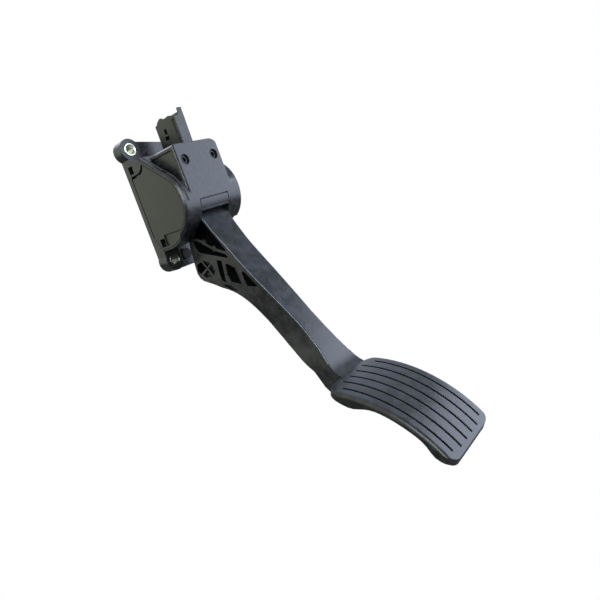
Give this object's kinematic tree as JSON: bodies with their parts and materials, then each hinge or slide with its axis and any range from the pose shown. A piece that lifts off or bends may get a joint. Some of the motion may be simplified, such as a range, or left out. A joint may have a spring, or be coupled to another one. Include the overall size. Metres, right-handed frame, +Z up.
{
  "type": "accelerator pedal",
  "caption": "Hanging electronic accelerator pedal: slotted curved tread on a ribbed moulded arm, sprung in a drum-shaped housing with sensor, connector inlet and bolt ears.",
  "frame": {"origin": "centre of the upper bolt sleeve on the mounting face, which lies against the toe board", "axes": "X across the car to the driver's right, -Y towards the driver, +Z up; the arm turns about an axis along X"},
  "size_m": [0.0833, 0.2178, 0.2703],
  "materials": {
    "nylon": "fine spark-eroded grain, satin",
    "nylon_cover": "fine grain, slightly shinier",
    "rubber": "matte",
    "terminal_brass": "tin-flashed, satin",
    "board_green": "solder mask",
    "chip_black": "moulded",
    "screw_black": "black-coated steel",
    "plated_steel": "bright zinc plate",
    "bearing_bronze": "sintered bronze",
    "ferrite": "bonded magnet",
    "lining": "friction material",
    "spring_wire": "oiled spring steel"
  },
  "bodies": {
    "carrier": {"housing": "nylon", "cheek_cover": "nylon_cover", "end_cap": "nylon", "slot_cover": "nylon", "connector_body": "nylon_cover", "connector_seal": "rubber", "terminals": "terminal_brass", "sensor_board": "board_green", "sensor_chip": "chip_black", "front_screw_left": "screw_black", "front_screw_right": "screw_black", "sleeve_upper": "plated_steel", "sleeve_lower": "plated_steel", "sleeve_right": "plated_steel", "pivot_pin": "plated_steel", "friction_lever": "nylon_cover", "friction_lining": "lining", "lever_pin": "plated_steel", "return_spring_outer": "spring_wire", "return_spring_inner": "spring_wire", "idle_buffer": "rubber", "full_buffer": "rubber"},
    "pedal": {"pedal_arm": "nylon", "bush_left": "bearing_bronze", "bush_right": "bearing_bronze", "magnet_holder": "nylon_cover", "magnet": "ferrite"}
  },
  "joints": [
    {"name": "pedal_pivot", "type": "hinge", "parent": "carrier", "child": "pedal", "pos_m": [0.0248, -0.0323, -0.0504], "axis": [1, 0, 0], "range_deg": [0, 16], "stiffness_Nm_per_rad": 4, "springref_deg": -22.92, "deforming": ["return_spring_outer", "return_spring_inner"]}
  ]
}
